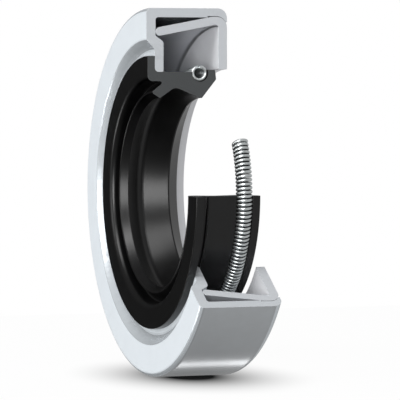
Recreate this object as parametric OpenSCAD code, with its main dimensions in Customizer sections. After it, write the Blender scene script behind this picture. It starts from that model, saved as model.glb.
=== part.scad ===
// Radial shaft seal with a metal case, shown as a sectioned specimen.
// The axis is Z, the front (air side) faces +Z and the rear face lies on Z = 0.
// Each piece is one section outline of [radius, height] points turned about the axis.
// The first cut is at angle 0 (the +X half plane), and each piece ends at its own angle.

/* [Seal] */
// Outside diameter, which presses into the housing
seal_od = 52; // [50:0.5:56]
// Overall width along the axis
seal_w = 12.2; // [11.5:0.1:14]
// Diameter of the sealing lip before a shaft is in it
lip_bore_d = 26.6; // [26:0.1:27.2]

/* [Cutaway] */
// Angle that the two metal cases run through
case_sweep = 235; // [180:1:250]
// Angle that the rubber lip runs through
lip_sweep = 270; // [255:1:285]
// Angle that the garter spring runs through
spring_sweep = 296; // [290:1:330]

/* [Outer case] */
// Thickness of the outer wall
wall_t = 1.3; // [1:0.05:1.4]
// Thickness of the front face
face_t = 1.4; // [1.2:0.05:1.5]
// Thickness of the flange that holds the rubber
flange_t = 1.3; // [1:0.05:1.4]
// How far the flange lies behind the front face
step_depth = 1.3; // [1:0.05:1.5]
// Place of the step between the hole (0) and the wall (1)
step_share = 0.584; // [0.5:0.01:0.62]
// Rounding of the front outer corner
front_round = 0.75; // [0.3:0.05:0.9]
// Rounding of the rear outer corner, where the wall is rolled over
rear_round = 1.4; // [1:0.05:1.5]
// Angle that the rolled edge follows the inner case's shoulder, in degrees
curl_turn = 56; // [50:1:66]
// Depth of the seat in the wall that the inner case sits in
seat_depth = 0.19; // [0.12:0.01:0.25]

/* [Inner case] */
// Thickness of the rear flange
sheet_t = 1.3; // [1:0.05:1.4]
// Thickness of the drawn wall
cone_t = 1.2; // [1:0.05:1.3]
// Diameter of the hole in the rear flange
rear_bore_d = 34.7; // [34.6:0.1:38]
// Rounding of the shoulder that the outer case is rolled over
shoulder_round = 1.5; // [1.3:0.05:1.6]
// Height at which the wall starts to lean inwards
cone_start = 2.3; // [2:0.1:2.8]

/* [Rubber lip] */
// Thickness of the rubber in front of the flange
cover_t = 1.1; // [0.8:0.05:1.2]
// Bare flange between the rubber and the foot of the step
cover_gap = 0.33; // [0.1:0.01:0.6]
// Thickness of the heel, which is the rubber inside the flange's hole
heel_t = 1.325; // [1.2:0.025:1.5]
// Height of the sealing edge
lip_z = 3.9; // [3.7:0.02:4]
// Width of the flat that a new sealing edge is trimmed to
land_w = 0.2; // [0.1:0.05:0.4]
// Lean of the sealing lip's front side, in degrees
front_lean = 21.7; // [19:0.1:23]
// Diameter of the nose behind the sealing edge
nose_d = 31.86; // [31.7:0.02:32.1]
// Height of the nose
nose_z = 1.65; // [1.4:0.05:1.8]
// Diameter of the dust lip's edge
dust_bore_d = 26.6; // [26.4:0.1:27.4]
// Height of the dust lip's edge
dust_z = 10.15; // [9.9:0.05:10.3]
// Reach of the dust lip from its edge out to the heel
dust_reach = 2.375; // [2.2:0.025:2.6]
// Thickness of the dust lip
dust_t = 1.4; // [1.2:0.05:1.5]
// Lean of the dust lip, in degrees
dust_lean = 34; // [31:0.5:36]

/* [Garter spring] */
// Outside diameter of the coil
coil_d = 2.32; // [2:0.02:2.4]
// Diameter of the wire
wire_d = 0.48; // [0.4:0.02:0.48]
// Distance from one turn to the next
coil_pitch = 0.536; // [0.53:0.01:0.9]
// Diameter of the circle that the spring lies on
spring_d = 33.6; // [33.5:0.02:33.8]
// Height of the spring
spring_z = 4.06; // [3.96:0.02:4.12]

/* [Fits] */
// Gap between the two metal cases where they hold each other
case_fit = 0.02; // [0.01:0.01:0.05]
// Gap round the inner case in its seat
seat_fit = 0.09; // [0.04:0.01:0.12]
// Gap between the spring and its groove
groove_fit = 0.04; // [0.02:0.01:0.1]

/* [Hidden] */

// Facets of the turned pieces and of the spring's wire
$fn = 144;
wire_fn = 24;
// Largest turn between two points of a rounding, in degrees
round_step = 12;
// Rounding of a sheared or moulded edge
edge_round = 0.1;

// Roundings of the outer case: the step's brow and foot, outside and inside, the face's inner corner and the flange's tip
brow_round = 0.5;
foot_round = 1.5;
inner_brow_round = 0.25;
inner_foot_round = 0.6;
face_corner_round = 0.4;
tip_round = 0.55;
tip_back_round = 0.2;

// The heel stands round the dust lip, and the flange's hole round the heel
lip_r = lip_bore_d / 2;
dust_r = dust_bore_d / 2;
heel_r = dust_r + dust_reach;
flange_r = heel_r + heel_t;

// Outer case: the step's slope is at 45 degrees outside and steeper inside
seal_r = seal_od / 2;
wall_r = seal_r - wall_t;
face_z = seal_w - face_t;
flange_z = seal_w - step_depth;
flange_rear_z = flange_z - flange_t;
step_r = flange_r + step_share * (wall_r - flange_r);
slope_r = step_r - step_depth;
foot_r = slope_r - foot_round * tan(45 / 2);
inner_foot_r = slope_r + 0.81 * flange_t;
inner_brow_r = inner_foot_r + 0.63 * flange_t;
seat_r = wall_r + seat_depth;

// Inner case: its wall leans in until its rounded end lies just outside the step's brow
inner_r = seat_r - seat_fit;
cone_half = cone_t / 2;
end_z = face_z - case_fit - cone_half;
end_r = inner_brow_r + case_fit + cone_half;
lean_run = [inner_r - end_r, end_z - cone_start];
cone_lean = acos(cone_half / norm(lean_run)) - atan2(lean_run[1], lean_run[0]);
cone_run = [-sin(cone_lean), cos(cone_lean)];
cone_out = [cos(cone_lean), sin(cone_lean)];
cone_start_round = 1;
bend_round = 0.45;
bend_r = end_r - cone_out[0] * cone_half + (end_z - cone_out[1] * cone_half - sheet_t) * tan(cone_lean);
// The seat ends where the leaning wall has come clear of it
seat_z = cone_start + (inner_r - wall_r + case_fit) / tan(cone_lean);

// Rubber lip
cover_z = flange_z + cover_t;
cover_r = foot_r - cover_gap;
nose_r = nose_d / 2;
heel_round = 0.8;
notch_round = 0.27;
crest_round = 1.2;
tip_front_round = 0.25;
// Height that the rubber climbs up the back of the flange
fillet = 0.3;
// The lips' two slopes meet at a crest, which is the root of both
crest_z = (dust_r - lip_r + dust_z * tan(dust_lean) + (lip_z + land_w / 2) * tan(front_lean))
    / (tan(dust_lean) + tan(front_lean));
crest_r = lip_r + (crest_z - lip_z - land_w / 2) * tan(front_lean);
// The dust lip's end leans out from square, and its front side runs back to the heel a little steeper than its rear side
tip_lean = 24;
taper = 2.5;
tip_edge = [dust_r, dust_z]
    + [cos(dust_lean + tip_lean), sin(dust_lean + tip_lean)] * dust_t / cos(tip_lean);
notch_z = tip_edge[1] - (heel_r - tip_edge[0]) / tan(dust_lean + taper);

// Garter spring
coil_r = coil_d / 2;
turn_r = coil_r - wire_d / 2;
spring_r = spring_d / 2;
groove_r = coil_r + groove_fit;
// Rise of the lip's back above the spring's circle, where it leaves the groove for the flange
back_rise = 0.2;
// The groove's rear edge: its top, and the shoulder that slopes from it to the nose
groove_edge_r = spring_r + 0.21 * coil_d;
shoulder_w = 0.1;
shoulder_h = 0.45;
shoulder_round_r = 0.3;
// The first turn stays behind the first cut
start_angle = asin(wire_d / 2 / spring_r);
turns = floor((spring_sweep - 2 * start_angle) / 360 * 2 * PI * spring_r / coil_pitch);
half_pitch = (spring_sweep - 2 * start_angle) / turns / 2;
// Half turns end a little short of each other inside a bead just fatter than the wire
bead_d = 1.015 * wire_d;
short_angle = 1;

function unit(v) = v / norm(v);

// Points of an arc, as sharp corners of an outline; its radius changes evenly from r to r_end
function arc(centre, r, r_end, from, to) =
    let (steps = max(2, ceil(abs(to - from) / round_step)))
    [for (i = [0 : steps])
        let (a = from + (to - from) * i / steps, ri = r + (r_end - r) * i / steps)
        [centre[0] + ri * cos(a), centre[1] + ri * sin(a), 0]];

// Points that round corner b between its neighbours a and c; each corner is [radius, height, rounding]
function corner(a, b, c) =
    let (p = [b[0], b[1]], r = b[2])
    r <= 0 ? [p] :
    let (
        to_a = unit([a[0], a[1]] - p),
        to_c = unit([c[0], c[1]] - p),
        half = acos(to_a * to_c) / 2,
        centre = p + unit(to_a + to_c) * r / sin(half),
        first = p + to_a * r / tan(half) - centre,
        last = p + to_c * r / tan(half) - centre,
        from = atan2(first[1], first[0]),
        turn = (atan2(last[1], last[0]) - from + 540) % 360 - 180
    )
    [for (q = arc(centre, r, r, from, from + turn)) [q[0], q[1]]];

// The outline through all the corners, each rounded as it says
function rounded(corners) =
    let (n = len(corners))
    [for (i = [0 : n - 1]) each corner(corners[(i + n - 1) % n], corners[i], corners[(i + 1) % n])];

// Turns a section outline about the axis
module turned(corners, sweep) {
    rotate_extrude(angle = sweep) polygon(rounded(corners));
}

// Stepped front face, outer wall and rolled rear edge, drawn from one sheet
module outer_case() {
    shoulder = [inner_r - shoulder_round, shoulder_round];
    curl_end_r = shoulder[0] + (shoulder_round + case_fit) * cos(curl_turn) - edge_round;
    color([0.80, 0.81, 0.83]) turned(concat(
        [
            [flange_r, flange_z, tip_round],
            [slope_r, flange_z, foot_round],
            [step_r, seal_w, brow_round],
            [seal_r, seal_w, front_round],
            [seal_r, 0, rear_round],
            [curl_end_r, 0, 0],
        ],
        arc(shoulder, shoulder_round + case_fit, shoulder_round + seat_fit, -curl_turn, 0),
        [
            [seat_r, seat_z, 0],
            [wall_r, seat_z, 0],
            [wall_r, face_z, face_corner_round],
            [inner_brow_r, face_z, inner_brow_round],
            [inner_foot_r, flange_rear_z, inner_foot_round],
            [flange_r, flange_rear_z, tip_back_round],
        ]
    ), case_sweep);
}

// Reinforcing ring: a rear flange, a rounded shoulder and a wall that leans in to the front face
module inner_case() {
    end = [end_r, end_z] + cone_run * cone_half;
    outer_end = end + cone_out * cone_half;
    inner_end = end - cone_out * cone_half;
    end_round = 0.98 * cone_half;
    color([0.72, 0.73, 0.75]) turned([
        [rear_bore_d / 2, 0, edge_round],
        [inner_r, 0, shoulder_round],
        [inner_r, cone_start, cone_start_round],
        [outer_end[0], outer_end[1], end_round],
        [inner_end[0], inner_end[1], end_round],
        [bend_r, sheet_t, bend_round],
        [rear_bore_d / 2, sheet_t, edge_round],
    ], case_sweep);
}

// Rubber bonded round the flange, with the sealing lip, its spring groove and the dust lip
module sealing_lip() {
    rear_edge = -acos((groove_edge_r - spring_r) / groove_r);
    front_edge = acos(back_rise / groove_r);
    color([0.10, 0.10, 0.11]) turned(concat(
        [
            [cover_r, cover_z, edge_round],
            [heel_r, cover_z, heel_round],
            [heel_r, notch_z, notch_round],
            [tip_edge[0], tip_edge[1], tip_front_round],
            [dust_r, dust_z, edge_round],
            [crest_r, crest_z, crest_round],
            [lip_r, lip_z + land_w / 2, 0],
            [lip_r, lip_z - land_w / 2, 0],
            [nose_r, nose_z, edge_round],
            [groove_edge_r - shoulder_h, nose_z + shoulder_w, shoulder_round_r],
            [groove_edge_r, nose_z + 2 * shoulder_w, edge_round],
        ],
        arc([spring_r, spring_z], groove_r, groove_r, rear_edge, front_edge - 360),
        [
            [flange_r, flange_rear_z - fillet, 0],
            [flange_r + fillet, flange_rear_z, 0],
            [flange_r, flange_rear_z, tip_back_round],
            [flange_r, flange_z, tip_round],
            [cover_r, flange_z, 0],
        ]
    ), lip_sweep);
}

// Place of joint k of the spring's wire: even joints lie outside, odd ones inside
function joint(k) =
    let (a = start_angle + k * half_pitch, r = spring_r + (k % 2 == 0 ? turn_r : -turn_r))
    [r * cos(a), r * sin(a), 0];

// Half a turn of wire, from joint k to the next: in front of the spring's plane, then behind it
module half_turn(k) {
    p = joint(k);
    q = joint(k + 1);
    translate((p + q) / 2)
        rotate([0, 0, atan2(q[1] - p[1], q[0] - p[0])])
            rotate([k % 2 == 0 ? 90 : -90, 0, 0])
                rotate_extrude(angle = 180 - 2 * short_angle, start = short_angle)
                    translate([norm(q - p) / 2, 0])
                        circle(d = wire_d, $fn = wire_fn);
}

// One wire wound in close turns and laid round in the groove
module garter_spring() {
    color([0.75, 0.77, 0.79]) translate([0, 0, spring_z])
        for (k = [0 : 2 * turns - 1]) {
            half_turn(k, $fn = wire_fn);
            if (k > 0) translate(joint(k)) sphere(d = bead_d, $fn = wire_fn);
        }
}

outer_case();
inner_case();
sealing_lip();
garter_spring();
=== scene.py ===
"""Studio scene of a sectioned radial shaft seal, standing on its outer wall.

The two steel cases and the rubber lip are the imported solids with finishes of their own.
The garter spring is one wire wound by Geometry Nodes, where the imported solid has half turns.
Lengths are in metres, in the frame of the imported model: +Z runs to the front face, +X lies
in the first cut face, and angles run from +X towards +Y.
"""

import logging
import math
from dataclasses import dataclass
from enum import Enum
from typing import Any, Union

import bmesh
import bpy
from mathutils import Matrix, Vector


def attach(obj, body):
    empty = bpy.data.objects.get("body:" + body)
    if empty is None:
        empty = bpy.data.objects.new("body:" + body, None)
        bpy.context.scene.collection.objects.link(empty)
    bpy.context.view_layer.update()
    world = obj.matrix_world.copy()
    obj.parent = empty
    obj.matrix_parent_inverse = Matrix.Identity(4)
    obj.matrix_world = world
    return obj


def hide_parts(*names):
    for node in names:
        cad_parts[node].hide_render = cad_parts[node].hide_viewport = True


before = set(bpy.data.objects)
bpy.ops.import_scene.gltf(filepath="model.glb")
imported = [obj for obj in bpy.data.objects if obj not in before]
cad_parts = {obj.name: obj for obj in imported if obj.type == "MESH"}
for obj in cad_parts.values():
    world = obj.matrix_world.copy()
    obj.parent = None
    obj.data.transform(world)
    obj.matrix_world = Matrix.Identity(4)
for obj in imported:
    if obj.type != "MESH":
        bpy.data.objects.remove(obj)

LOG = logging.getLogger("seal")
MM = 0.001
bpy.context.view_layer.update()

# Width and height of the picture in pixels
PICTURE = 400
WHITE = (1.0, 1.0, 1.0)
# Size of a direction's Z part at which a face starts to lie across the axis, and at which it does
ACROSS_AXIS = (0.9, 0.99)
# Distance in millimetres within which a point counts as lying in a cut plane
CUT_SLACK = 0.004
# How much of the height is taken from the radius in the place along a section
SLANT = 0.9

Source = Union[float, int, bool, tuple, bpy.types.NodeSocket]
Tone = tuple[float, float, float]


class Cut(Enum):
    """The cut planes that end the pieces, each with its angle from +X in degrees."""

    FIRST = 0.0
    CASES = 235.0
    LIP = 270.0


class Graph:
    """A node tree, with short calls for the nodes that the finishes and the coil use."""

    def __init__(self, tree: bpy.types.NodeTree) -> None:
        """Takes a node tree and empties it.

        Args:
            tree: The tree of a material, a world or a Geometry Nodes group.
        """
        self.tree = tree
        tree.nodes.clear()

    def node(self, kind: str, inputs: dict[Any, Source] | None = None, **settings: Any) -> bpy.types.Node:
        """Adds a node.

        Args:
            kind: The node's type name.
            inputs: What each named or numbered input takes, a value or another node's output.
            **settings: Properties of the node, set before its inputs.

        Returns:
            The new node.
        """
        made = self.tree.nodes.new(kind)
        for name, value in settings.items():
            setattr(made, name, value)
        for key, source in (inputs or {}).items():
            self.plug(made.inputs[key], source)
        return made

    def plug(self, socket: bpy.types.NodeSocket, source: Source) -> None:
        """Links an output to an input, or sets the input's own value.

        Args:
            socket: The input.
            source: Another node's output, or a value.
        """
        if isinstance(source, bpy.types.NodeSocket):
            self.tree.links.new(source, socket)
        else:
            socket.default_value = source

    def math(self, operation: str, *values: Source) -> bpy.types.NodeSocket:
        """Adds a Math node.

        Args:
            operation: Its operation.
            *values: Its inputs in order.

        Returns:
            The result's socket.
        """
        return self.node("ShaderNodeMath", dict(enumerate(values)), operation=operation).outputs[0]

    def combine(self, x: Source, y: Source, z: Source) -> bpy.types.NodeSocket:
        """Joins three numbers in a vector.

        Args:
            x: First part.
            y: Second part.
            z: Third part.

        Returns:
            The vector's socket.
        """
        return self.node("ShaderNodeCombineXYZ", {0: x, 1: y, 2: z}).outputs[0]

    def between(self, value: Source, low: Source, high: Source, to_low: Source = 0.0,
                to_high: Source = 1.0) -> bpy.types.NodeSocket:
        """Maps a value smoothly from one range to another, and holds it inside that range.

        Args:
            value: What is mapped.
            low: Start of its range.
            high: End of its range.
            to_low: What the start becomes.
            to_high: What the end becomes.

        Returns:
            The mapped value's socket.
        """
        return self.node("ShaderNodeMapRange", {0: value, 1: low, 2: high, 3: to_low, 4: to_high},
                         interpolation_type="SMOOTHSTEP").outputs[0]

    def blend(self, share: Source, first: Source, second: Source) -> bpy.types.NodeSocket:
        """Mixes two colours.

        Args:
            share: How much of the second colour there is.
            first: Colour at share 0.
            second: Colour at share 1.

        Returns:
            The mixed colour's socket.
        """
        return self.node("ShaderNodeMix", {0: share, 6: first, 7: second}, data_type="RGBA").outputs[2]

    def noise(self, place: Source, scale: float, detail: float = 2.0,
              roughness: float = 0.5) -> bpy.types.NodeSocket:
        """Adds a noise pattern.

        Args:
            place: Where the pattern is read.
            scale: Its grains per unit of place.
            detail: How many finer layers it has.
            roughness: How strong the finer layers are.

        Returns:
            The pattern's socket, from 0 to 1 with its middle at 0.5.
        """
        sockets = {"Vector": place, "Scale": scale, "Detail": detail, "Roughness": roughness}
        return self.node("ShaderNodeTexNoise", sockets).outputs[0]


@dataclass(frozen=True)
class Places:
    """Sockets that tell a finish where it is on a turned piece.

    Attributes:
        point: Object coordinates in millimetres.
        radius: Distance from the axis in millimetres.
        height: Height above the rear face in millimetres.
        run: Place along the section, outwards and downwards, in millimetres.
        round_about: Direction from the axis, without a seam at any angle.
        cut: 1 on the cut faces and 0 elsewhere.
        edge: 1 along edges and 0 on the open surface; the finishes paint a highlight along it.
        soft_normal: The surface's direction with its sharp edges rounded.
    """

    point: bpy.types.NodeSocket
    radius: bpy.types.NodeSocket
    height: bpy.types.NodeSocket
    run: bpy.types.NodeSocket
    round_about: tuple[bpy.types.NodeSocket, bpy.types.NodeSocket]
    cut: bpy.types.NodeSocket
    edge: bpy.types.NodeSocket
    soft_normal: bpy.types.NodeSocket


def read_places(graph: Graph, last_cut: Cut, edge_width: float) -> Places:
    """Adds the nodes that find the place on a piece turned about the Z axis.

    Args:
        graph: The material's tree.
        last_cut: The cut plane that the piece ends at.
        edge_width: Width of the rounding that light finds along edges, in metres.

    Returns:
        The sockets of the place.
    """
    own = graph.node("ShaderNodeTexCoord").outputs["Object"]
    point = graph.node("ShaderNodeVectorMath", {0: own, 3: 1 / MM}, operation="SCALE").outputs[0]
    x, y, z = graph.node("ShaderNodeSeparateXYZ", {0: point}).outputs
    radius = graph.math("SQRT", graph.math("ADD", graph.math("MULTIPLY", x, x), graph.math("MULTIPLY", y, y)))
    masks = []
    for cut in (Cut.FIRST, last_cut):
        angle = math.radians(cut.value)
        across = graph.math("ADD", graph.math("MULTIPLY", x, -math.sin(angle)),
                            graph.math("MULTIPLY", y, math.cos(angle)))
        along = graph.math("ADD", graph.math("MULTIPLY", x, math.cos(angle)),
                           graph.math("MULTIPLY", y, math.sin(angle)))
        on_plane = graph.math("LESS_THAN", graph.math("ABSOLUTE", across), CUT_SLACK)
        masks.append(graph.math("MULTIPLY", on_plane, graph.math("GREATER_THAN", along, 0.0)))
    soft = graph.node("ShaderNodeBevel", {"Radius": edge_width}, samples=4).outputs[0]
    flat = graph.node("ShaderNodeNewGeometry").outputs["Normal"]
    turn = graph.node("ShaderNodeVectorMath", {0: soft, 1: flat}, operation="DOT_PRODUCT").outputs["Value"]
    return Places(
        point=point,
        radius=radius,
        height=z,
        run=graph.math("SUBTRACT", radius, graph.math("MULTIPLY", z, SLANT)),
        round_about=(graph.math("DIVIDE", x, radius), graph.math("DIVIDE", y, radius)),
        cut=graph.math("MAXIMUM", *masks),
        edge=graph.between(turn, 0.995, 0.8),
        soft_normal=soft,
    )


def shade(tone: Tone, level: float = 1.0) -> tuple[float, float, float, float]:
    """Turns a tone into a node's colour.

    Args:
        tone: Red, green and blue.
        level: What they are multiplied by.

    Returns:
        The colour with its alpha.
    """
    return (*(level * part for part in tone), 1.0)


def new_material(name: str) -> tuple[bpy.types.Material, Graph, bpy.types.Node]:
    """Makes a material that holds one shader and its output.

    Args:
        name: The material's name.

    Returns:
        The material, its tree and its shader node.
    """
    material = bpy.data.materials.new(name)
    material.use_nodes = True
    graph = Graph(material.node_tree)
    shader = graph.node("ShaderNodeBsdfPrincipled")
    graph.node("ShaderNodeOutputMaterial", {"Surface": shader.outputs[0]})
    return material, graph, shader


@dataclass(frozen=True)
class SteelFinish:
    """Drawn steel sheet, with fine streaks round the axis, ground cut faces, a painted highlight along the edges
    and painted shade in part of the outer wall's colour and inside the case.

    Attributes:
        name: The material's name.
        last_cut: The cut plane that the piece ends at.
        tone: Colour of the sheet.
        wall_tone_and_shade: Colour of the outer wall, darker than the sheet: partly its ground finish and partly
            painted shade.
        inside_shade_tone: Painted shade inside the outer wall, a darker colour where the case is hollow.
        wall_radius: Radius that the ground wall starts at, in millimetres; 0 for none.
        inside: Lowest radius and greatest height of the painted shade inside, in millimetres.
        cut_tone: Colour of the cut faces.
        rim_highlight: Painted highlight along the edges, a paler colour where light would catch them.
        roughness: Roughness of the sheet.
        metal: Share of the shine that is bare metal's.
        flat_metal: The same on flat faces across the axis and on the cut faces, which are duller.
        flat_gloss: Strength of those faces' other reflection, as the shader's own specular level.
        streak: Depth of the streaks, from 0 to 1.
        wave: Radii between which pressing left the sheet wavy, in millimetres; 0, 0 for none.
        wave_depth: Depth of the waves, against the streaks' depth of 1.
        soft_edge: Width of the rounding that light finds along edges.
    """

    name: str
    last_cut: Cut
    tone: Tone = (0.76, 0.81, 0.85)
    wall_tone_and_shade: Tone = (0.44, 0.46, 0.475)
    inside_shade_tone: Tone = (0.40, 0.42, 0.44)
    wall_radius: float = 0.0
    inside: tuple[float, float] = (22.0, 11.0)
    cut_tone: Tone = (0.53, 0.555, 0.58)
    rim_highlight: Tone = (0.80, 0.83, 0.87)
    roughness: float = 0.26
    metal: float = 0.5
    flat_metal: float = 0.06
    flat_gloss: float = 0.12
    streak: float = 0.5
    wave: tuple[float, float] = (0.0, 0.0)
    wave_depth: float = 90.0
    soft_edge: float = 0.09 * MM

    def make(self) -> bpy.types.Material:
        """Builds the material.

        Returns:
            The finished material.
        """
        material, graph, shader = new_material(self.name)
        at = read_places(graph, self.last_cut, self.soft_edge)
        streaks = graph.noise(graph.combine(*at.round_about, graph.math("MULTIPLY", at.run, 7.0)),
                              scale=2.2, detail=5.0, roughness=0.65)
        wall = self.on_wall(graph, at)
        calm = graph.math("SUBTRACT", 1.0, graph.math("MULTIPLY", wall, 0.75))
        level = graph.math("ABSOLUTE", graph.node("ShaderNodeSeparateXYZ", {0: at.soft_normal}).outputs[2])
        dull = graph.math("MAXIMUM", at.cut, graph.between(level, *ACROSS_AXIS))
        rough = graph.math("ADD", self.roughness, graph.math(
            "MULTIPLY", graph.math("SUBTRACT", streaks, 0.5), 0.25 * self.streak))
        rough = graph.math("ADD", rough, graph.math("MULTIPLY", dull, 0.16))
        rough = graph.math("MULTIPLY", rough, graph.between(calm, 0.0, 1.0, 0.7, 1.0))
        grain = graph.noise(at.point, scale=9.0, detail=2.0, roughness=0.6)
        puckers = graph.noise(graph.combine(*at.round_about, graph.math("MULTIPLY", at.run, 0.35)),
                              scale=6.0, detail=3.0, roughness=0.6)
        height = graph.math("ADD", graph.math("MULTIPLY", graph.math("MULTIPLY", streaks, calm), self.streak),
                            graph.math("MULTIPLY", grain, 0.1))
        height = graph.math("ADD", height, graph.math(
            "MULTIPLY", graph.math("MULTIPLY", puckers, self.on_step(graph, at)), self.wave_depth))
        bump = graph.node("ShaderNodeBump", {"Strength": 0.5, "Distance": 0.004 * MM, "Height": height,
                                             "Normal": at.soft_normal})
        graph.plug(shader.inputs["Base Color"], self.colour(graph, at, streaks, wall))
        graph.plug(shader.inputs["Metallic"], graph.between(dull, 0.0, 1.0, self.metal, self.flat_metal))
        graph.plug(shader.inputs["Specular IOR Level"], graph.between(dull, 0.0, 1.0, 0.5, self.flat_gloss))
        graph.plug(shader.inputs["Roughness"], rough)
        graph.plug(shader.inputs["Normal"], bump.outputs[0])
        return material

    def on_wall(self, graph: Graph, at: Places) -> Source:
        """Finds the ground outer wall.

        Args:
            graph: The material's tree.
            at: The sockets of the place.

        Returns:
            1 on the wall and 0 elsewhere.
        """
        if not self.wall_radius:
            return 0.0
        return graph.between(at.radius, self.wall_radius - 0.05, self.wall_radius)

    def painted_inside_shade(self, graph: Graph, at: Places) -> Source:
        """Finds the sheet that faces the inside of the case, where shade is painted.

        Args:
            graph: The material's tree.
            at: The sockets of the place.

        Returns:
            1 on the inside, where shade is painted, and 0 elsewhere.
        """
        if not self.wall_radius:
            return 0.0
        return graph.math("MULTIPLY", graph.between(at.radius, self.wall_radius - 0.9, self.wall_radius - 1.1),
                          graph.math("MULTIPLY", graph.math("GREATER_THAN", at.radius, self.inside[0]),
                                     graph.math("LESS_THAN", at.height, self.inside[1])))

    def on_step(self, graph: Graph, at: Places) -> Source:
        """Finds the pressed step.

        Args:
            graph: The material's tree.
            at: The sockets of the place.

        Returns:
            1 in the middle of the step and 0 away from it.
        """
        if not self.wave[1]:
            return 0.0
        middle = (self.wave[0] + self.wave[1]) / 2
        half = (self.wave[1] - self.wave[0]) / 2
        return graph.between(graph.math("ABSOLUTE", graph.math("SUBTRACT", at.radius, middle)), half, half / 2)

    def colour(self, graph: Graph, at: Places, streaks: bpy.types.NodeSocket,
               wall: Source) -> bpy.types.NodeSocket:
        """Mixes the colours of the sheet, its wall (partly painted shade), the painted shade inside the case, its
        cut faces and the painted highlight along the edges.

        Args:
            graph: The material's tree.
            at: The sockets of the place.
            streaks: The pattern of the streaks.
            wall: 1 on the ground outer wall.

        Returns:
            The colour's socket.
        """
        cloud = graph.noise(at.point, scale=0.35, detail=3.0, roughness=0.55)
        saw = graph.noise(graph.combine(graph.math("MULTIPLY", at.height, 14.0),
                                        graph.math("MULTIPLY", at.radius, 1.2), 0.0),
                          scale=1.0, detail=3.0, roughness=0.6)
        body = graph.blend(graph.between(streaks, 0.25, 0.75), shade(self.tone, 0.975), shade(self.tone))
        # The outer wall's darker colour is partly its ground finish and partly painted shade.
        body = graph.blend(wall, body, shade(self.wall_tone_and_shade))
        # Darker colour inside the outer case: painted shade.
        body = graph.blend(self.painted_inside_shade(graph, at), body, shade(self.inside_shade_tone))
        body = graph.blend(graph.math("MULTIPLY", graph.between(cloud, 0.35, 0.75), 0.12),
                           body, shade(self.tone, 0.8))
        cut = graph.blend(graph.between(saw, 0.3, 0.7), shade(self.cut_tone, 0.96), shade(self.cut_tone))
        # Paler colour along the edges: a painted highlight.
        return graph.blend(graph.math("MULTIPLY", at.edge, 0.8), graph.blend(at.cut, body, cut),
                           shade(self.rim_highlight))


@dataclass(frozen=True)
class RubberFinish:
    """Moulded black rubber, glossy where the mould shaped it and dull where it is cut, with a painted highlight
    along the cut faces' edges.

    Attributes:
        name: The material's name.
        last_cut: The cut plane that the piece ends at.
        tone: Colour of the moulded skin.
        cut_tone: Colour of the cut faces.
        rim_highlight: Painted highlight along the cut faces' edges, a paler colour where light would catch them.
        roughness: Roughness of the skin.
        gloss: Strength of the skin's reflection, as the shader's own specular level.
        soft_edge: Width of the rounding that light finds along edges.
    """

    name: str
    last_cut: Cut
    tone: Tone = (0.0013, 0.0013, 0.0014)
    cut_tone: Tone = (0.052, 0.056, 0.058)
    rim_highlight: Tone = (0.078, 0.082, 0.085)
    roughness: float = 0.30
    gloss: float = 0.5
    soft_edge: float = 0.08 * MM

    def make(self) -> bpy.types.Material:
        """Builds the material.

        Returns:
            The finished material.
        """
        material, graph, shader = new_material(self.name)
        at = read_places(graph, self.last_cut, self.soft_edge)
        grain = graph.noise(at.point, scale=14.0, detail=3.0, roughness=0.6)
        cloud = graph.noise(at.point, scale=0.5, detail=2.0, roughness=0.5)
        mould = graph.noise(graph.combine(*at.round_about, graph.math("MULTIPLY", at.run, 5.0)),
                            scale=1.5, detail=4.0, roughness=0.6)
        skin = graph.blend(graph.between(cloud, 0.3, 0.7), shade(self.tone), shade(self.tone, 1.8))
        torn = graph.blend(graph.between(grain, 0.3, 0.7), shade(self.cut_tone, 0.9), shade(self.cut_tone))
        # Paler colour along the cut faces' edges: a painted highlight.
        torn = graph.blend(at.edge, torn, shade(self.rim_highlight))
        rough = graph.math("ADD", self.roughness, graph.math(
            "MULTIPLY", graph.math("SUBTRACT", mould, 0.5), 0.06))
        rough = graph.math("ADD", rough, graph.math("MULTIPLY", at.cut, 0.35))
        height = graph.math("ADD", graph.math("MULTIPLY", mould, 0.7), graph.math("MULTIPLY", grain, 0.3))
        bump = graph.node("ShaderNodeBump", {"Strength": 0.08, "Distance": 0.006 * MM, "Height": height,
                                             "Normal": at.soft_normal})
        graph.plug(shader.inputs["Base Color"], graph.blend(at.cut, skin, torn))
        graph.plug(shader.inputs["Roughness"], rough)
        graph.plug(shader.inputs["Specular IOR Level"], self.gloss)
        graph.plug(shader.inputs["Normal"], bump.outputs[0])
        return material


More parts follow.
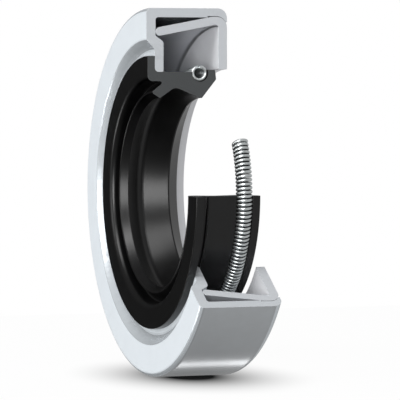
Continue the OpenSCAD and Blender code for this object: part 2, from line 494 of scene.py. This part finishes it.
@dataclass(frozen=True)
class WireFinish:
    """Bright drawn spring wire, with faint die lines along it and painted shade between its turns and inside the
    coil.

    Attributes:
        name: The material's name.
        tone: Colour of the wire.
        worn_tone: Colour of its darker patches.
        gap_shade: Painted shade between the turns, a dark colour on the wire's inner side.
        bore_shade: Painted shade inside the coil, a grey lighter than between the turns.
        gap_facing: How far the wire faces out of the coil, 1 is straight out, where the gap's tone
            starts and where it is full.
        bore_facing: The same for the inside's tone.
        roughness: Roughness of the wire.
    """

    name: str
    tone: Tone = (0.78, 0.82, 0.82)
    worn_tone: Tone = (0.60, 0.63, 0.63)
    gap_shade: Tone = (0.05, 0.055, 0.058)
    bore_shade: Tone = (0.42, 0.44, 0.45)
    gap_facing: tuple[float, float] = (0.86, 0.42)
    bore_facing: tuple[float, float] = (-0.3, -0.7)
    roughness: float = 0.34

    def make(self) -> bpy.types.Material:
        """Builds the material.

        Returns:
            The finished material.
        """
        material, graph, shader = new_material(self.name)
        along = graph.node("ShaderNodeAttribute", attribute_name="along").outputs["Fac"]
        around = graph.node("ShaderNodeAttribute", attribute_name="around").outputs["Vector"]
        across, up, _ = graph.node("ShaderNodeSeparateXYZ", {0: around}).outputs
        lines = graph.noise(graph.combine(across, up, along), scale=4.0, detail=3.0, roughness=0.6)
        patches = graph.noise(graph.combine(along, 0.0, 0.0), scale=1.3, detail=2.0, roughness=0.5)
        outwards = graph.node("ShaderNodeAttribute", attribute_name="outwards").outputs["Vector"]
        normal = graph.node("ShaderNodeNewGeometry").outputs["Normal"]
        facing = graph.node("ShaderNodeVectorMath", {0: outwards, 1: normal},
                            operation="DOT_PRODUCT").outputs["Value"]
        end = graph.node("ShaderNodeAttribute", attribute_name="end").outputs["Fac"]
        # Painted shade on the wire's inner side, dark between the turns and grey inside the coil, left off near
        # its ends.
        painted_shade = graph.math("MULTIPLY", graph.between(facing, *self.gap_facing), graph.math("SUBTRACT", 1.0, end))
        colour = graph.blend(graph.between(patches, 0.45, 0.8), shade(self.tone), shade(self.worn_tone))
        inside = graph.blend(graph.between(facing, *self.bore_facing), shade(self.gap_shade), shade(self.bore_shade))
        rough = graph.math("ADD", self.roughness, graph.math("MULTIPLY", graph.math("SUBTRACT", lines, 0.5), 0.1))
        bump = graph.node("ShaderNodeBump", {"Strength": 0.2, "Distance": 0.002 * MM, "Height": lines})
        graph.plug(shader.inputs["Base Color"], graph.blend(painted_shade, colour, inside))
        graph.plug(shader.inputs["Metallic"], 1.0)
        graph.plug(shader.inputs["Roughness"], rough)
        graph.plug(shader.inputs["Normal"], bump.outputs[0])
        return material


@dataclass
class Cases:
    """The two steel cases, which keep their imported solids.

    Attributes:
        wall_radius: Radius that the ground outer wall starts at, in millimetres.
        step: Radii of the front face's step, in millimetres.
    """

    wall_radius: float = 25.96
    step: tuple[float, float] = (18.6, 21.6)

    def dress(self) -> None:
        """Gives each case its steel."""
        outer = SteelFinish("drawn_steel_outer", Cut.CASES, wall_radius=self.wall_radius, wave=self.step)
        # The inner case is paler than the outer one, partly as painted light in the cavity that it lines.
        inner = SteelFinish("drawn_steel_inner", Cut.CASES, tone=(0.88, 0.89, 0.92), cut_tone=(0.54, 0.56, 0.585),
                            roughness=0.3, metal=0.85)
        give("outer_case", outer.make())
        give("inner_case", inner.make())


@dataclass
class Lip:
    """The rubber lip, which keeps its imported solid."""

    def dress(self) -> None:
        """Gives the lip its rubber."""
        give("sealing_lip", RubberFinish("moulded_rubber", Cut.LIP).make())


@dataclass
class GarterCoil:
    """The garter spring as one wire, wound in close turns and laid round in its groove.

    Attributes:
        ring_radius: Radius of the circle that the coil lies on.
        height: Height of that circle above the rear face.
        turn_radius: Radius of a turn, to the middle of the wire.
        wire_radius: Radius of the wire.
        pitch: Distance from one turn to the next.
        end_angle: Angle from +X that the coil ends at, in degrees.
        last_turn: Share of a turn that the wire ends at, on the side that faces the axis.
        steps: Points on each turn.
        sides: Sides of the wire's section.
    """

    ring_radius: float = 16.8 * MM
    height: float = 4.06 * MM
    turn_radius: float = 0.92 * MM
    wire_radius: float = 0.24 * MM
    pitch: float = 0.536 * MM
    end_angle: float = 297.0
    last_turn: float = 0.44
    steps: int = 24
    sides: int = 12

    def build(self) -> bpy.types.Object:
        """Winds the coil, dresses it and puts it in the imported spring's place.

        Returns:
            The coil.
        """
        start = math.degrees(math.asin(self.wire_radius / self.ring_radius))
        sweep = math.radians(self.end_angle - 2 * start)
        turns = math.floor(sweep * self.ring_radius / self.pitch) + self.last_turn
        wire = WireFinish("drawn_spring_wire").make()
        tree, sockets = self.winding_tree(wire)
        values = {
            "Ring radius": self.ring_radius, "Height": self.height, "Turn radius": self.turn_radius,
            "Wire radius": self.wire_radius, "Start angle": math.radians(start), "Sweep": sweep,
            "Turns": turns, "Points": round(turns * self.steps) + 1, "Sides": self.sides,
        }
        carrier = bpy.data.objects.new("coil_carrier", bpy.data.meshes.new("coil_carrier"))
        bpy.context.scene.collection.objects.link(carrier)
        winding = carrier.modifiers.new("winding", "NODES")
        winding.node_group = tree
        for name, value in values.items():
            winding[sockets[name]] = value
        depsgraph = bpy.context.evaluated_depsgraph_get()
        mesh = bpy.data.meshes.new_from_object(carrier.evaluated_get(depsgraph), depsgraph=depsgraph)
        mesh.name = "garter_coil"
        carrier.modifiers.remove(winding)
        bpy.data.objects.remove(carrier)
        face_outwards(mesh)
        coil = bpy.data.objects.new("garter_coil", mesh)
        bpy.context.scene.collection.objects.link(coil)
        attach(coil, "root")
        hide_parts("garter_spring")
        LOG.info("garter_coil: %.2f turns, %d faces", turns, len(mesh.polygons))
        return coil

    def winding_tree(self, wire: bpy.types.Material) -> tuple[bpy.types.NodeTree, dict[str, str]]:
        """Builds the Geometry Nodes tree that winds the wire.

        Args:
            wire: The wire's material.

        Returns:
            The tree, and the identifier of each named input.
        """
        tree = bpy.data.node_groups.new("winding", "GeometryNodeTree")
        graph = Graph(tree)
        sockets = {}
        for name, kind in (("Ring radius", "Float"), ("Height", "Float"), ("Turn radius", "Float"),
                           ("Wire radius", "Float"), ("Start angle", "Float"), ("Sweep", "Float"),
                           ("Turns", "Float"), ("Points", "Int"), ("Sides", "Int")):
            made = tree.interface.new_socket(name, in_out="INPUT", socket_type=f"NodeSocket{kind}")
            sockets[name] = made.identifier
        tree.interface.new_socket("Geometry", in_out="OUTPUT", socket_type="NodeSocketGeometry")
        given = graph.node("NodeGroupInput").outputs
        index = graph.node("GeometryNodeInputIndex").outputs[0]
        share = graph.math("DIVIDE", index, graph.math("SUBTRACT", given["Points"], 1))
        turned = graph.math("MULTIPLY", graph.math("MULTIPLY", share, given["Turns"]), 2 * math.pi)
        angle = graph.math("ADD", given["Start angle"], graph.math("MULTIPLY", share, given["Sweep"]))
        radius = graph.math("ADD", given["Ring radius"], graph.math(
            "MULTIPLY", given["Turn radius"], graph.math("COSINE", turned)))
        place = graph.combine(
            graph.math("MULTIPLY", radius, graph.math("COSINE", angle)),
            graph.math("MULTIPLY", radius, graph.math("SINE", angle)),
            graph.math("SUBTRACT", given["Height"], graph.math(
                "MULTIPLY", given["Turn radius"], graph.math("SINE", turned))))
        line = graph.node("GeometryNodeCurvePrimitiveLine").outputs[0]
        points = graph.node("GeometryNodeResampleCurve", {"Curve": line, "Count": given["Points"]}).outputs[0]
        path = graph.node("GeometryNodeSetPosition", {"Geometry": points, "Position": place}).outputs[0]
        path = graph.node("GeometryNodeStoreNamedAttribute",
                          {"Geometry": path, "Name": "along", "Value": turned},
                          data_type="FLOAT", domain="POINT").outputs[0]
        outwards = graph.combine(
            graph.math("MULTIPLY", graph.math("COSINE", turned), graph.math("COSINE", angle)),
            graph.math("MULTIPLY", graph.math("COSINE", turned), graph.math("SINE", angle)),
            graph.math("MULTIPLY", graph.math("SINE", turned), -1.0))
        path = graph.node("GeometryNodeStoreNamedAttribute",
                          {"Geometry": path, "Name": "outwards", "Value": outwards},
                          data_type="FLOAT_VECTOR", domain="POINT").outputs[0]
        from_end = graph.math("MULTIPLY", given["Turns"], graph.math(
            "MINIMUM", share, graph.math("SUBTRACT", 1.0, share)))
        path = graph.node("GeometryNodeStoreNamedAttribute",
                          {"Geometry": path, "Name": "end", "Value": graph.between(from_end, 1.1, 0.9)},
                          data_type="FLOAT", domain="POINT").outputs[0]
        section = graph.node("GeometryNodeCurvePrimitiveCircle",
                             {"Resolution": given["Sides"], "Radius": given["Wire radius"]}).outputs[0]
        turn = graph.math("MULTIPLY", graph.math("DIVIDE", index, given["Sides"]), 2 * math.pi)
        section = graph.node("GeometryNodeStoreNamedAttribute",
                             {"Geometry": section, "Name": "around",
                              "Value": graph.combine(graph.math("COSINE", turn), graph.math("SINE", turn), 0.0)},
                             data_type="FLOAT_VECTOR", domain="POINT").outputs[0]
        tube = graph.node("GeometryNodeCurveToMesh",
                          {"Curve": path, "Profile Curve": section, "Fill Caps": True}).outputs[0]
        smooth = graph.node("GeometryNodeSetShadeSmooth", {0: tube}).outputs[0]
        real = graph.node("GeometryNodeRealizeInstances", {0: smooth}).outputs[0]
        dressed = graph.node("GeometryNodeSetMaterial", {"Geometry": real, "Material": wire}).outputs[0]
        graph.node("NodeGroupOutput", {0: dressed})
        return tree, sockets


def face_outwards(mesh: bpy.types.Mesh) -> None:
    """Makes a closed mesh's faces point outwards.

    Args:
        mesh: The mesh, which is changed.
    """
    work = bmesh.new()
    work.from_mesh(mesh)
    if work.calc_volume(signed=True) < 0:
        bmesh.ops.reverse_faces(work, faces=work.faces)
    work.to_mesh(mesh)
    work.free()


def give(node: str, material: bpy.types.Material) -> None:
    """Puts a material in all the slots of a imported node.

    Args:
        node: The node's name.
        material: Its finish.
    """
    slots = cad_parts[node].data.materials
    slots.clear()
    slots.append(material)
    LOG.info("%s: %s", node, material.name)


@dataclass
class PhotoCamera:
    """The camera that the picture was taken with.

    Attributes:
        azimuth: Angle round the axis, 0 looks along +Y, in degrees.
        elevation: Angle above the plane of the rear face, in degrees.
        distance: Distance from the point that it looks at.
        aim: The point that it looks at.
        lens: Focal length on a 36 mm sensor, in millimetres.
        shift: Shift of the picture, as shares of its width.
    """

    azimuth: float = 2.150
    elevation: float = 20.776
    distance: float = 467.153 * MM
    aim: tuple[float, float, float] = (0.0, 0.0, 6.0 * MM)
    lens: float = 296.856
    shift: tuple[float, float] = (12.544 / PICTURE, -8.049 / PICTURE)

    def build(self) -> bpy.types.Object:
        """Makes the camera, with +X upwards in its picture.

        Returns:
            The camera.
        """
        a, e = math.radians(self.azimuth), math.radians(self.elevation)
        back = Vector((math.sin(a) * math.cos(e), -math.cos(a) * math.cos(e), math.sin(e)))
        up = Vector((1, 0, 0)) - back * back.x
        up.normalize()
        right = up.cross(back)
        data = bpy.data.cameras.new("photo_camera")
        data.sensor_width = 36.0
        data.lens = self.lens
        data.shift_x, data.shift_y = self.shift
        camera = bpy.data.objects.new("photo_camera", data)
        camera.matrix_world = Matrix.Translation(Vector(self.aim) + back * self.distance) @ Matrix(
            (right, up, back)).transposed().to_4x4()
        bpy.context.scene.collection.objects.link(camera)
        bpy.context.scene.camera = camera
        return camera


@dataclass
class Lamp:
    """A square soft lamp that looks at the seal and doesn't show itself.

    Attributes:
        name: Its name.
        place: Where it hangs.
        side: Length of its side.
        level: Light that it gives a surface facing it at the seal, where 1 shows white as white.
    """

    name: str
    place: tuple[float, float, float]
    side: float
    level: float

    def build(self) -> bpy.types.Object:
        """Makes the lamp.

        Returns:
            The lamp.
        """
        data = bpy.data.lights.new(self.name, "AREA")
        data.shape = "SQUARE"
        data.size = self.side
        place = Vector(self.place)
        data.energy = self.level * math.pi * math.pi * place.length_squared
        lamp = bpy.data.objects.new(self.name, data)
        lamp.location = place
        lamp.rotation_euler = place.to_track_quat("Z", "Y").to_euler()
        lamp.visible_camera = False
        bpy.context.scene.collection.objects.link(lamp)
        return lamp


@dataclass
class Studio:
    """The pale floor that the seal stands on, with a painted shadow at the seal's foot, and the light.

    Attributes:
        stand: Distance from the axis to the floor.
        reach: How far the floor runs round the seal's foot.
        ambient: Level of the light from all sides.
        faint: How much of the lamps' own shadow the floor shows.
        pale: Level that metal and rubber show behind the rear face.
        room: Level that they show elsewhere.
        room_change: What is added to that level towards +X, +Y and +Z.
        behind: Z of the direction at which the level behind the rear face is reached.
        foot: Middle of the floor's painted shadow, along Y and Z, in millimetres.
        foot_reach: How far the patch runs from its middle, along Y and Z, in millimetres.
        foot_turn: Angle that the patch is turned by, in degrees.
        foot_shade: How dark it is at its middle, where 1 is black.
        mirrored: How much of the painted shadow metal and rubber show in their reflections.
    """

    stand: float = 26.02 * MM
    reach: float = 120 * MM
    ambient: float = 0.38
    faint: float = 0.05
    pale: float = 0.46
    room: float = 0.10
    room_change: tuple[float, float, float] = (0.1, -0.1, 0.1)
    behind: float = -0.08
    foot: tuple[float, float] = (-1.0, 6.2)
    foot_reach: tuple[float, float] = (31.0, 18.0)
    foot_turn: float = -8.0
    foot_shade: float = 1.5
    mirrored: float = 0.5

    def build(self) -> None:
        """Makes the floor, the lamps and the world."""
        self.floor()
        for lamp in (
            Lamp("key", (0.80, -0.44, 0.40), 0.66, 0.42),
            Lamp("spot", (0.71, -0.37, 0.60), 0.24, 0.10),
            Lamp("side", (0.18, -0.05, 0.98), 0.55, 0.22),
            Lamp("front", (0.03, -0.82, 0.56), 0.44, 0.54),
            Lamp("low", (-0.35, 0.45, 0.80), 0.25, 0.10),
            Lamp("rim", (-0.68, 0.63, -0.355), 0.12, 0.018),
        ):
            lamp.build()
        self.world()

    def floor(self) -> bpy.types.Object:
        """Makes the floor, which faces the seal.

        Returns:
            The floor.
        """
        x, r = -self.stand, self.reach
        mesh = bpy.data.meshes.new("floor")
        mesh.from_pydata(((x, -r, -r), (x, r, -r), (x, r, r), (x, -r, r)), [], [(0, 1, 2, 3)])
        mesh.materials.append(self.floor_paper())
        made = bpy.data.objects.new("floor", mesh)
        bpy.context.scene.collection.objects.link(made)
        return made

    def white(self, graph: Graph) -> bpy.types.NodeSocket:
        """Adds a white paper with a faint fibre, which the lamps light.

        Args:
            graph: The material's tree.

        Returns:
            The paper's shader.
        """
        place = graph.node("ShaderNodeTexCoord").outputs["Object"]
        fibre = graph.noise(place, scale=4000.0, detail=2.0, roughness=0.6)
        tone = graph.blend(fibre, shade(WHITE, 0.97), shade(WHITE))
        return graph.node("ShaderNodeBsdfDiffuse", {"Color": tone}).outputs[0]

    def foot_painted_shadow(self, graph: Graph) -> bpy.types.NodeSocket:
        """Adds the painted shadow round the seal's foot, as the light that it leaves on the floor.

        Args:
            graph: The material's tree.

        Returns:
            A socket that is 1 on the open floor and falls towards the foot.
        """
        own = graph.node("ShaderNodeTexCoord").outputs["Object"]
        middle = (0.0, self.foot[0] * MM, self.foot[1] * MM)
        turned = graph.node("ShaderNodeVectorRotate", {
            "Vector": own, "Center": middle, "Angle": math.radians(-self.foot_turn)},
            rotation_type="X_AXIS").outputs[0]
        _, y, z = graph.node("ShaderNodeSeparateXYZ", {0: turned}).outputs
        out = graph.math("DIVIDE", graph.math("SUBTRACT", y, middle[1]), self.foot_reach[0] * MM)
        along = graph.math("DIVIDE", graph.math("SUBTRACT", z, middle[2]), self.foot_reach[1] * MM)
        away = graph.math("SQRT", graph.math("ADD", graph.math("MULTIPLY", out, out),
                                             graph.math("MULTIPLY", along, along)))
        near = graph.math("MAXIMUM", graph.math("SUBTRACT", 1.0, away), 0.0)
        dark = graph.math("MULTIPLY", graph.math("MULTIPLY", near, near), self.foot_shade)
        return graph.math("MAXIMUM", graph.math("SUBTRACT", 1.0, dark), 0.0)

    def floor_paper(self) -> bpy.types.Material:
        """Builds a paper that is white where it is seen, with a painted shadow round the seal's foot and a faint
        share of the lamps' own shadow, and holds no light back.

        Metal and rubber show only its painted shadow, and from below it isn't there.

        Returns:
            The finished material.
        """
        material = bpy.data.materials.new("floor_paper")
        material.use_nodes = True
        graph = Graph(material.node_tree)
        rays = graph.node("ShaderNodeLightPath").outputs
        camera = rays["Is Camera Ray"]
        shiny = graph.math("MAXIMUM", rays["Is Glossy Ray"], rays["Is Transmission Ray"])
        # The dark patch round the seal's foot is a painted shadow, not one that the lamps throw.
        light = self.foot_painted_shadow(graph)
        glow = graph.node("ShaderNodeEmission", {"Strength": graph.math("MULTIPLY", camera, light)}).outputs[0]
        shown = graph.node("ShaderNodeMixShader", {
            0: graph.math("MULTIPLY", camera, self.faint), 1: glow, 2: self.white(graph)}).outputs[0]
        # Metal and rubber reflect the painted shadow as a dark patch.
        dark = graph.math("MULTIPLY", graph.math("SUBTRACT", 1.0, light), self.mirrored)
        above = graph.math("SUBTRACT", 1.0, graph.node("ShaderNodeNewGeometry").outputs["Backfacing"])
        seen = graph.math("MULTIPLY", above, graph.math("MAXIMUM", camera, graph.math("MULTIPLY", shiny, dark)))
        empty = graph.node("ShaderNodeBsdfTransparent").outputs[0]
        paper = graph.node("ShaderNodeMixShader", {0: seen, 1: empty, 2: shown}).outputs[0]
        graph.node("ShaderNodeOutputMaterial", {"Surface": paper})
        return material

    def world(self) -> None:
        """Makes the world: white where it is seen, paler in metal behind the rear face, soft elsewhere."""
        world = bpy.data.worlds.new("studio")
        world.use_nodes = True
        graph = Graph(world.node_tree)
        rays = graph.node("ShaderNodeLightPath").outputs
        way = graph.node("ShaderNodeSeparateXYZ", {0: graph.node("ShaderNodeTexCoord").outputs["Generated"]})
        room: Source = self.room
        for part, change in zip(way.outputs, self.room_change):
            room = graph.math("ADD", room, graph.math("MULTIPLY", part, change))
        room = graph.between(way.outputs[2], 0.0, self.behind, room, self.pale)
        shiny = graph.math("MAXIMUM", rays["Is Glossy Ray"], rays["Is Transmission Ray"])
        level = graph.math("ADD", self.ambient, graph.math("MULTIPLY", shiny, graph.math(
            "SUBTRACT", room, self.ambient)))
        level = graph.math("ADD", level, graph.math("MULTIPLY", rays["Is Camera Ray"], graph.math(
            "SUBTRACT", 1.0, self.ambient)))
        light = graph.node("ShaderNodeBackground", {"Color": shade(WHITE), "Strength": level})
        graph.node("ShaderNodeOutputWorld", {"Surface": light.outputs[0]})
        bpy.context.scene.world = world


def main() -> None:
    """Builds the scene."""
    logging.basicConfig(level=logging.INFO, format="%(message)s")
    bpy.context.scene.view_settings.view_transform = "Standard"
    PhotoCamera().build()
    Cases().dress()
    Lip().dress()
    GarterCoil().build()
    Studio().build()


if __name__ == "__main__":
    main()
